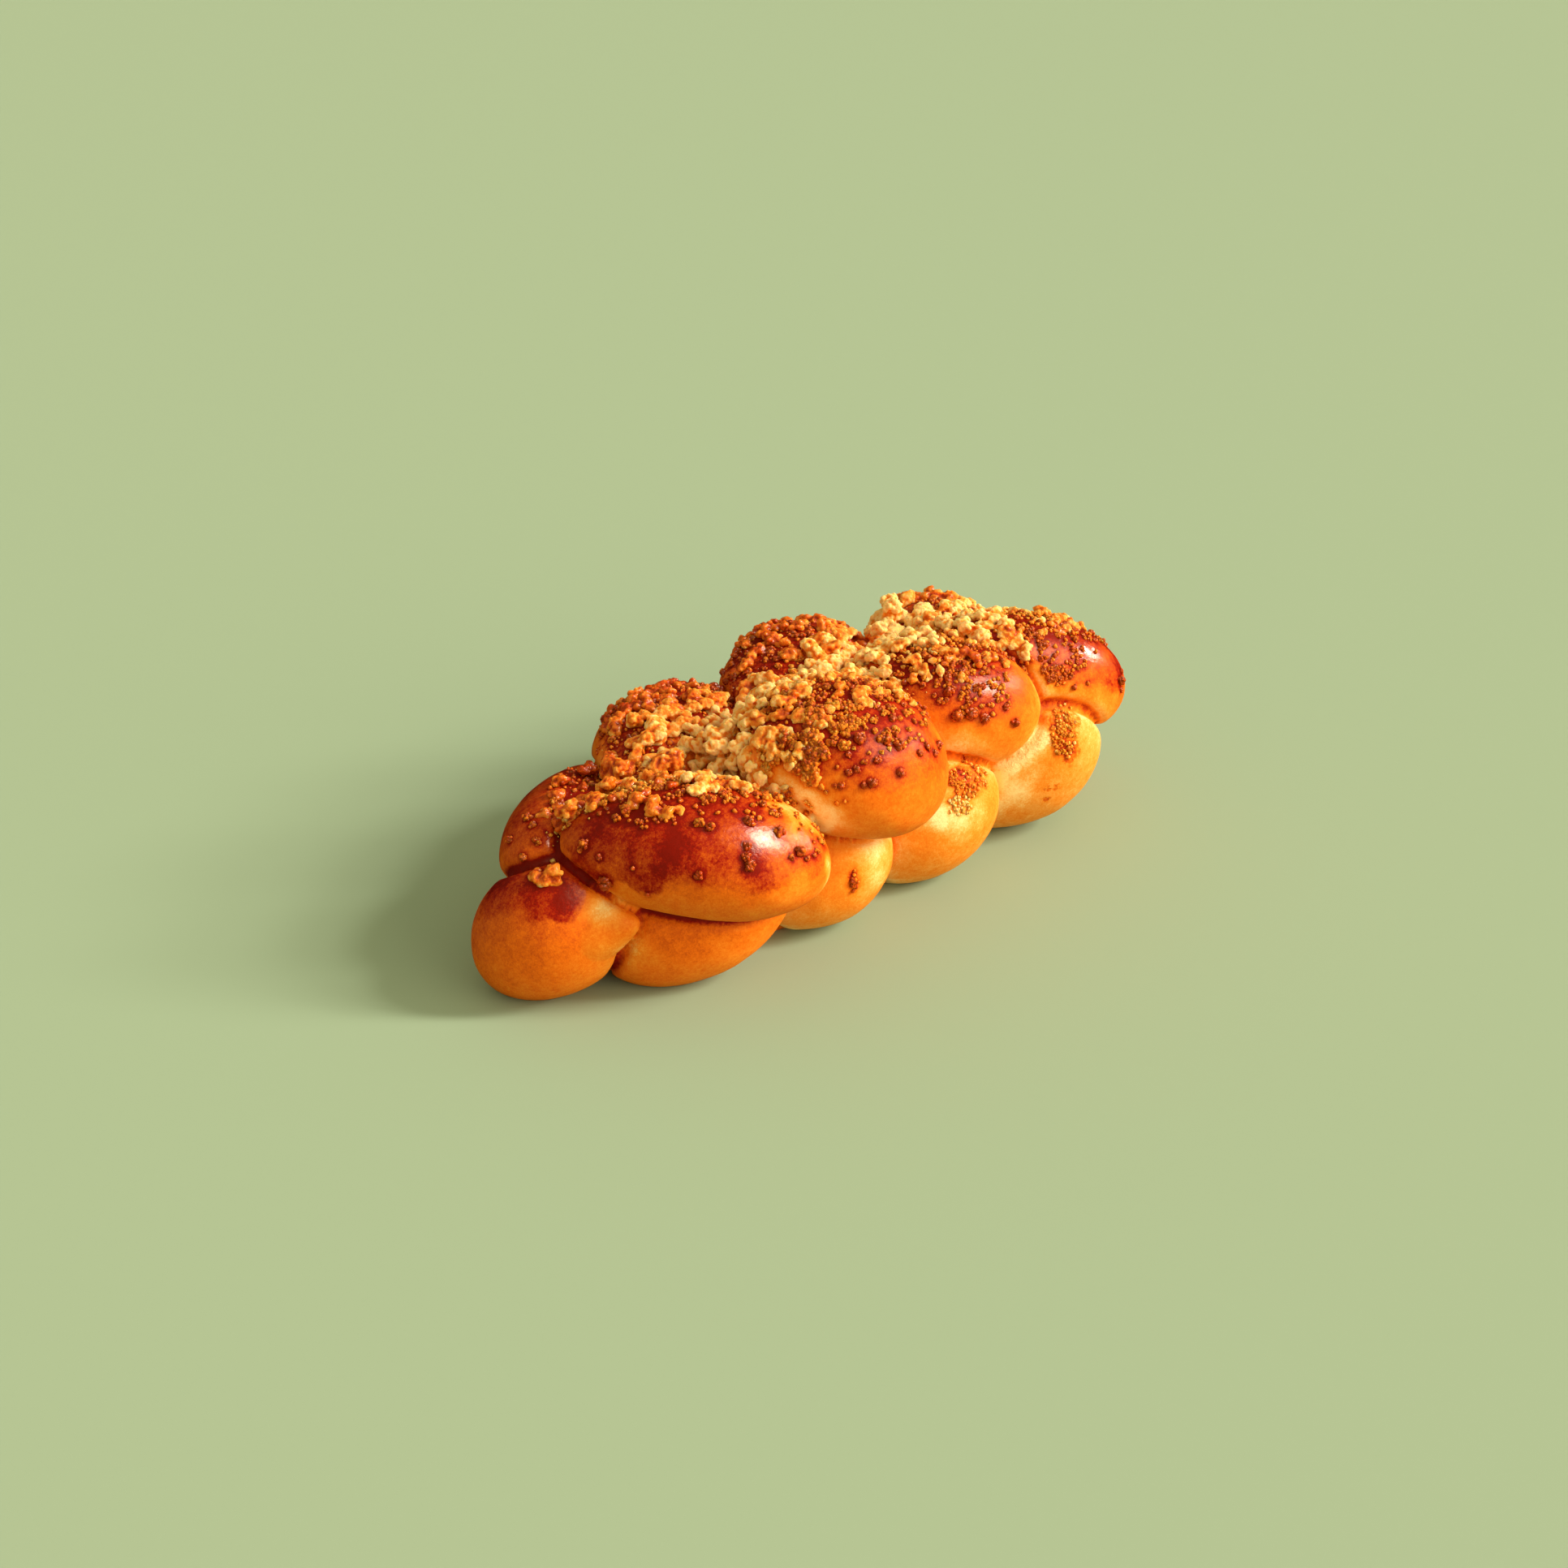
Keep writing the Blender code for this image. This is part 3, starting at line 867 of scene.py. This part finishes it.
def heap_in_groove(heap):
    x = GROOVE_ENDS[0]
    while x < GROOVE_ENDS[1]:
        level = heap_level(x)
        near_end = float(step_up(-x, 25 * MM, 75 * MM))
        half_width = HEAP_HALF_WIDTH * (1 - 0.65 * near_end)
        y = -half_width
        while y < half_width:
            here = (x + rng.uniform(-4, 4) * MM, GROOVE_Y + y + rng.uniform(-3, 3) * MM)
            place, _ = above(*here)
            top = level - 5 * MM * abs(y) / half_width + rng.uniform(-5, 2) * MM
            z = place.z if place is not None and place.z > LOWEST else top
            while z < top:
                size = HEAP_LUMP[0] + (HEAP_LUMP[1] - HEAP_LUMP[0]) * rng.random() ** 1.5
                toast = 0.06 + 0.20 * (y / half_width) ** 2 + 0.52 * near_end + rng.uniform(-0.10, 0.14)
                toast += 0.16 * float(step_up(-x, -30 * MM, 20 * MM))
                toast += 0.22 * noise.noise(Vector((here[0], here[1], z)) / (11 * MM))
                heap.lump(Vector((here[0], here[1], z)), UP, size, toast)
                z += LAYER
            for _ in range(3):
                aside = Vector((rng.uniform(-4, 4), rng.uniform(-4, 4), rng.uniform(2, 5))) * MM
                size, toast = rng.uniform(*SMALL_LUMP), 0.25 + rng.uniform(-0.2, 0.2)
                heap.lump(Vector((*here, top)) + aside, UP, size, toast)
            y += HEAP_STEP
        x += HEAP_STEP


# Where the real heap is fullest, by pixel: height above the rest in mm, size in mm, toasting.
FULLEST = [
    (858, 905, 5, 12, 0.28), (882, 915, 6, 13, 0.14), (905, 900, 6, 12, 0.2), (928, 918, 6, 12, 0.16),
    (905, 935, 4, 12, 0.1), (872, 938, 3, 11, 0.16), (940, 900, 6, 11, 0.26), (930, 945, 4, 11, 0.1),
    (890, 955, 2, 10, 0.14), (1010, 795, 3, 11, 0.5), (1028, 803, 3, 10, 0.48),
    (1020, 783, 3, 10, 0.46), (998, 806, 2, 9, 0.45), (1095, 753, 3, 12, 0.1),
    (1085, 775, 3, 12, 0.08), (1110, 762, 3, 12, 0.12),
]


def on_heap(x, y, lift):
    """Place at a height above the heap's surface at a pixel of the picture."""
    ray = pixel_ray(x, y)
    place = camera_place + ray * DISTANCE
    for _ in range(4):
        wanted = heap_level(place.x) + lift
        place = camera_place + ray * ((wanted - camera_place.z) / ray.z)
    return place


# Over the swells beside the groove the streusel thins out. A swell's "cover" is how far it
# reaches from the groove's side over the top: 1 is only the edge, below 0 the whole top. Beside
# it stand how softly it fades out, and on which side of the swell the groove lies.
COVER = {
    "upper_right_0": (0.66, 0.22, 1),
    "upper_right_1": (0.48, 0.38, 1),
    "upper_right_2": (0.18, 0.34, 1),
    "upper_right_3": (0.34, 0.42, 1),
    "upper_left_0": (0.55, 0.30, -1),
    "upper_left_1": (-0.15, 0.50, -1),
    "upper_left_2": (-0.15, 0.50, -1),
    "upper_left_3": (-0.05, 0.50, -1),
}
RIGHT_ROW = dict(lumps=210, granules=2000, toasted=0.58, large=10 * MM)
LEFT_ROW = dict(lumps=350, granules=1500, toasted=0.65, large=16 * MM)
SMALLEST_LUMP = 3.5 * MM
LUMP_FROM, CLUSTER_FROM = 6 * MM, 1.8 * MM  # a larger crumb is a lump, or a cluster of grains
NEAR_END = (48 * MM, 84 * MM)  # toward the ball the streusel is more toasted
FINE = 0.6 * MM  # granules smaller than this have fewer faces
GRANULE_SIZE = (0.40 * MM, 1.8 * MM)  # radius


class Strewing:
    """How likely streusel is to lie on each face of the crust, and how near the groove it is."""

    def __init__(self, mesh):
        corner_chance = np.zeros(len(co))
        for name, (cover, fade, side) in COVER.items():
            mine = owner == names.index(name)
            q = swells[name].round_place(co[mine])
            reach = 0.55 * q[:, 2] + 0.70 * q[:, 1] * side - 0.45 * q[:, 0] * (side > 0)
            corner_chance[mine] = step_up(reach, cover - fade, cover + 0.1)
        self.corner_chance = corner_chance
        self.middles = np.array([p.center[:] for p in mesh.polygons])
        self.ways = np.array([p.normal[:] for p in mesh.polygons])
        first = np.array([p.vertices[0] for p in mesh.polygons])
        self.chance = corner_chance[first] * step_up(self.ways[:, 2], 0.1, 0.45)
        self.near = np.exp(-((self.middles[:, 1] - GROOVE_Y) / (24 * MM)) ** 2)
        self.areas = np.array([p.area for p in mesh.polygons])
        self.right = self.middles[:, 1] < GROOVE_Y
        self.picks = np.random.default_rng(SEED)

    def places(self, count, sharpness, side):
        """Places chosen at random on one side, more where streusel is likelier."""
        weight = self.areas * self.chance ** sharpness * side
        for face in self.picks.choice(len(weight), size=count, p=weight / weight.sum()):
            yield (Vector(self.middles[face]), Vector(self.ways[face]), self.chance[face], self.near[face])


def nugget(lumps, granules, place, normal, size, toast):
    """One crumb: a single grain, a cluster of grains, or a lump if it is a large one."""
    radius = size / 2
    if size > LUMP_FROM:
        lumps.lump(place + normal * size * 0.04, normal, size, toast, flat=0.65)
    elif size > CLUSTER_FROM:
        granules.grain(place + normal * radius * 0.10, radius * 0.80, toast, normal)
        for _ in range(int(3 + 6 * (radius / (2 * MM)) ** 2)):
            way = any_way(normal, 0.05)
            small = rng.uniform(0.30, 0.55) * radius
            granules.grain(place + way * radius * 0.66, small, toast + rng.uniform(-0.14, 0.1), normal)
    else:
        granules.grain(place + normal * radius * 0.20, radius, toast, normal)


def strewn(lumps, granules, row, side):
    """Strews one row of swells: lumps by the groove, granules further out."""
    for place, normal, chance, near in strewing.places(row["lumps"], 2.0, side):
        near_end = float(step_up(-place.x, *NEAR_END))
        toast = row["toasted"] - 0.46 * near + 0.46 * near_end + rng.uniform(-0.12, 0.12)
        toast += 0.18 * noise.noise(place / (16 * MM)) + 0.12 * float(step_up(place.y, *FAR_SIDE))
        span = (row["large"] - SMALLEST_LUMP) * (0.25 + 0.75 * near) * chance
        size = SMALLEST_LUMP + span * rng.random() ** 1.3
        lumps.lump(place + normal * size * 0.08, normal, size, toast, flat=rng.uniform(0.5, 0.9))
    for place, normal, chance, near in strewing.places(row["granules"], 1.0, side):
        toast = row["toasted"] + 0.02 - 0.30 * near + rng.uniform(-0.12, 0.14)
        small, large = GRANULE_SIZE
        size = 2 * (small + (large - small) * rng.random() ** 2)
        nugget(lumps, granules, place, normal, size, toast)


# Single crumbs seen on the real crust: the pixel, the size in mm and the toasting of each.
SEEN = {
    "near ball": [
        (667, 1082, 12, 0.6), (661, 1083, 8, 0.6), (677, 1083, 8, 0.58),
    ],
    "first swell on the left": [
        (650, 1008, 4, 0.62), (657, 1017, 3, 0.62), (628, 1035, 3.2, 0.62), (662, 1037, 3.4, 0.56),
        (645, 1056, 3, 0.62), (650, 965, 8, 0.74), (672, 958, 9, 0.72), (690, 968, 8, 0.7),
    ],
    "first swell on the right": [
        (712, 1000, 11, 0.46), (735, 990, 8, 0.54), (790, 990, 8, 0.6), (806, 994, 9, 0.6),
        (826, 1000, 7.5, 0.56), (772, 1000, 5, 0.55), (760, 1008, 3.6, 0.6), (786, 1012, 2.6, 0.6),
        (720, 1040, 4, 0.66), (715, 1048, 2.8, 0.6), (738, 1057, 2.8, 0.75), (746, 1088, 5.6, 0.85),
        (780, 1070, 1.6, 0.75), (798, 1102, 1.6, 0.75), (861, 1078, 3.4, 0.8), (921, 1042, 3.4, 0.8),
        (919, 1056, 3.6, 0.82), (924, 1067, 4, 0.82), (862, 1015, 4.2, 0.5), (876, 1020, 3.6, 0.6),
        (960, 1025, 4.6, 0.68), (985, 1050, 4.6, 0.72), (975, 1056, 2.6, 0.7), (994, 1058, 2.4, 0.7),
        (1003, 1054, 2.2, 0.7), (923, 1012, 4.2, 0.75), (884, 1002, 1.8, 0.6), (905, 1000, 1.6, 0.6),
        (877, 985, 3.6, 0.5), (868, 990, 3, 0.5), (940, 992, 3.4, 0.6), (952, 1000, 3, 0.7),
    ],
    "second swell on the right": [
        (1061, 862, 9, 0.42), (1058, 910, 5.2, 0.78), (1046, 930, 2.8, 0.8), (1092, 914, 4.6, 0.7),
        (1106, 917, 4.8, 0.72), (1032, 945, 2, 0.66), (1065, 939, 2.6, 0.6), (1046, 952, 3, 0.72),
        (1056, 948, 3, 0.68), (1081, 937, 3.3, 0.76), (1109, 951, 3.6, 0.82), (1075, 965, 4, 0.76),
        (1064, 967, 2.6, 0.8), (1029, 968, 2.6, 0.66), (1037, 968, 3.2, 0.68), (1012, 970, 3.2, 0.45),
        (998, 965, 3, 0.45), (1018, 976, 2, 0.5), (1031, 990, 1.6, 0.55), (1041, 987, 1.6, 0.55),
        (1142, 920, 3.3, 0.74), (1133, 928, 2.8, 0.7), (1156, 918, 3.6, 0.74), (1152, 928, 3, 0.74),
        (1016, 930, 5, 0.5), (977, 937, 6, 0.36), (969, 900, 7, 0.3), (1099, 885, 3.6, 0.64),
    ],
    "between the first three swells": [
        (940, 912, 11, 0.36), (950, 925, 9, 0.32), (925, 945, 10, 0.2), (940, 960, 11, 0.14),
        (918, 935, 8, 0.22), (975, 935, 7, 0.4), (985, 925, 6.5, 0.42), (960, 975, 7, 0.16),
        (945, 975, 8, 0.2), (1003, 905, 6.5, 0.45), (1010, 890, 8, 0.42), (990, 880, 8, 0.46),
        (965, 870, 9, 0.44), (940, 860, 12, 0.32), (960, 850, 12, 0.24), (985, 855, 9, 0.42),
        (1030, 788, 9, 0.46),
    ],
    "third swell on the right": [
        (1196, 812, 8, 0.75), (1180, 882, 5, 0.78), (1196, 880, 5, 0.78), (1213, 884, 4.2, 0.8),
        (1250, 890, 4, 0.82), (1169, 853, 4.2, 0.7), (1209, 846, 3.6, 0.74), (1240, 871, 3, 0.74),
    ],
    "fourth swell on the right": [
        (1382, 806, 3.2, 0.85), (1382, 818, 2.6, 0.8), (1381, 827, 2.4, 0.8), (1380, 838, 4, 0.85),
        (1381, 850, 2.6, 0.8), (1324, 847, 2.6, 0.62), (1340, 842, 2.2, 0.62), (1307, 836, 2.6, 0.66),
        (1352, 940, 3, 0.8), (1349, 790, 2.8, 0.74),
    ],
    "far end of the heap": [
        (1118, 742, 13, 0.44), (1162, 730, 14, 0.44), (1105, 730, 12, 0.5), (1140, 752, 11, 0.08),
        (1130, 787, 12, 0.03), (1112, 795, 11, 0.03), (1130, 765, 11, 0.1), (1086, 815, 10, 0.18),
        (1092, 830, 9, 0.24), (1100, 843, 8, 0.3), (1107, 856, 6.5, 0.4), (1225, 762, 10, 0.2),
        (1240, 775, 9, 0.24), (1096, 750, 13, 0.1), (1084, 768, 13, 0.08), (1100, 778, 13, 0.05),
        (1078, 788, 11, 0.08), (1250, 788, 8, 0.28), (1258, 800, 7, 0.32), (1262, 812, 6.5, 0.34),
        (1192, 774, 10, 0.18), (1206, 780, 9, 0.2), (1220, 788, 8, 0.26), (1232, 797, 7, 0.3),
        (1176, 752, 10, 0.2), (1200, 760, 9, 0.25), (1218, 768, 8, 0.3), (1106, 762, 8, 0.35),
        (1128, 775, 10, 0.04), (1100, 792, 10, 0.02), (1085, 806, 10, 0.05), (1160, 768, 9, 0.06),
        (1062, 815, 9, 0.12),
    ],
}
# Places where fine crumbs baked on close together: the pixel, half width and half height in
# pixels, how many, their size in mm and their toasting.
BAKED_ON = [
    (1193, 960, 24, 22, 90, 1.7, 0.34), (1182, 992, 15, 12, 40, 1.6, 0.06),
    (1311, 900, 16, 34, 100, 1.7, 0.34), (1052, 1086, 4, 15, 16, 1.6, 0.6),
    (1200, 850, 50, 36, 90, 2.2, 0.52), (1300, 800, 50, 30, 90, 2, 0.58),
    (1302, 832, 18, 12, 36, 2, 0.6), (1085, 895, 60, 34, 80, 2.5, 0.42),
    (960, 1005, 45, 22, 18, 1.8, 0.5), (800, 1000, 70, 20, 30, 1.8, 0.66),
    (1020, 900, 40, 34, 40, 3.6, 0.47), (925, 940, 32, 30, 36, 5.5, 0.3),
    (985, 925, 30, 26, 40, 3.8, 0.5), (880, 965, 34, 12, 10, 8, 0.36),
    (1000, 945, 10, 18, 10, 5, 0.44), (905, 978, 60, 12, 50, 2.6, 0.5),
    (978, 1002, 24, 18, 12, 2.2, 0.48), (1004, 1034, 10, 20, 12, 2, 0.52),
    (965, 985, 22, 10, 8, 4, 0.42),
]
# Crust that streusel dust baked into, without crumbs: the pixel, the radius in mm, how much.
DUSTED = [
    (1193, 955, 11, 0.6), (1182, 990, 8, 0.5), (1215, 925, 7, 0.3), (1311, 890, 9, 0.8),
    (1318, 925, 7, 0.8), (1295, 970, 6, 0.5), (1290, 985, 5, 0.5), (1051, 1080, 4, 0.7),
    (1340, 880, 5, 0.4),
]
SUGAR = dict(count=420, radius=0.2 * MM, toast=0.05)


def seen_crumbs(lumps, granules):
    for crumbs in SEEN.values():
        for x, y, size, toast in crumbs:
            place, normal = on_crust(x, y)
            if place:
                nugget(lumps, granules, place, normal, size * MM, toast)
    for x, y, wide, high, count, size, toast in BAKED_ON:
        for _ in range(count):
            turn, out = rng.uniform(0, 2 * pi), rng.random() ** 0.5
            place, normal = on_crust(x + wide * out * cos(turn), y + high * out * sin(turn))
            if place:
                own = rng.uniform(-0.12, 0.12)
                nugget(lumps, granules, place, normal, size * MM * rng.uniform(0.7, 1.3), toast + own)


strewing = Strewing(crust.data)
paint(crust.data, "dusted", np.clip(strewing.corner_chance * 0.7 + patches(DUSTED), 0, 1))
groove, left, right, granules, sugar = Heap(), Heap(), Heap(), Heap(), Heap()
heap_in_groove(groove)
strewn(left, granules, LEFT_ROW, ~strewing.right)
strewn(right, granules, RIGHT_ROW, strewing.right)
seen_crumbs(right, granules)
for place, normal, _, _ in strewing.places(SUGAR["count"], 0.5, 1):
    sugar.grain(place + normal * SUGAR["radius"] / 2, SUGAR["radius"], SUGAR["toast"], normal)
for x, y, lift, size, toast in FULLEST:
    groove.lump(on_heap(x, y, lift * MM), UP, size * MM, toast)
fused("streusel_groove", groove)
fused("streusel_left", left)
fused("streusel_right", right)
coarse, fine = granules.parted(FINE)
loose("streusel_granules", coarse, grain_shape)
loose("streusel_fines", fine, fine_shape)
loose("sugar", sugar, fine_shape)

# Painted shade: the crust is painted darker round the foot of each loose crumb and right-row lump.
CRUMB_SHADE_REACH = 0.8 * MM
crumb_foot_shade = np.minimum(granules.gap_at(co), right.gap_at(co))
paint(crust.data, "crumb_foot_shade", np.exp(-np.maximum(crumb_foot_shade, 0) / CRUMB_SHADE_REACH))
crust.data.materials.clear()
crust.data.materials.append(crust_material())

# --------------------------------------
# The set: a pale sheet that runs on behind, one soft key light from the right, fill round it.
# --------------------------------------
SHEET = 8.0  # half its side, in metres
SHEET_COLOUR = (0.290, 0.352, 0.219, 1)
ROOM_COLOUR, ROOM_LIGHT = (0.99, 0.98, 0.69, 1), 0.67
bm = bmesh.new()
bmesh.ops.create_grid(bm, x_segments=1, y_segments=1, size=SHEET)
mesh = bpy.data.meshes.new("floor")
bm.to_mesh(mesh)
bm.free()
floor = bpy.data.objects.new("floor", mesh)
bpy.context.scene.collection.objects.link(floor)
floor_material, tree, shader = new_material("floor")
feed(tree, shader, {"Base Color": SHEET_COLOUR, "Roughness": 0.95, "Specular IOR Level": 0.1})
mesh.materials.append(floor_material)
floor.visible_glossy = False


def sun(name, toward, strength, width, colour=(1, 1, 1), glints=False):
    """A far soft light: its direction from the loaf, its strength and its apparent width."""
    data = bpy.data.lights.new(name, "SUN")
    data.energy = strength
    data.angle = radians(width)
    data.color = colour
    lamp = bpy.data.objects.new(name, data)
    lamp.rotation_mode = "QUATERNION"
    lamp.rotation_quaternion = Vector(toward).to_track_quat("Z", "Y")
    lamp.visible_glossy = glints
    lamp.visible_diffuse = not glints
    bpy.context.scene.collection.objects.link(lamp)


# The key is a tall narrow window: three narrow suns one above the other, without glints. What
# the glaze mirrors is a softer light a little above it.
KEY_TURN = radians(-43)  # from the loaf's length toward its shown side
KEY_HEIGHTS = (22, 31, 40)  # degrees above the sheet
KEY_STRENGTH, KEY_WIDTH, KEY_COLOUR = 1.58, 9, (1.0, 0.98, 0.94)
for rise in KEY_HEIGHTS:
    flat = cos(radians(rise))
    toward = (flat * cos(KEY_TURN), flat * sin(KEY_TURN), sin(radians(rise)))
    sun(f"key_{rise}", toward, KEY_STRENGTH, KEY_WIDTH, KEY_COLOUR)
sun("front", (0.25, -0.93, 0.18), 2.6, 60, (1.0, 0.88, 0.73))
sun("glint", (0.38, -0.45, 0.81), 4.6, 28, (1.0, 0.85, 0.66), glints=True)
sun("far glint", (0.86, -0.23, 0.45), 1.8, 10, (1.0, 0.88, 0.72), glints=True)
world = bpy.data.worlds.new("room")
bpy.context.scene.world = world
world.use_nodes = True
room = world.node_tree
feed(room, room.nodes["Background"], {"Color": ROOM_COLOUR, "Strength": ROOM_LIGHT})
world.cycles_visibility.glossy = False
bpy.context.scene.view_settings.view_transform = "Standard"
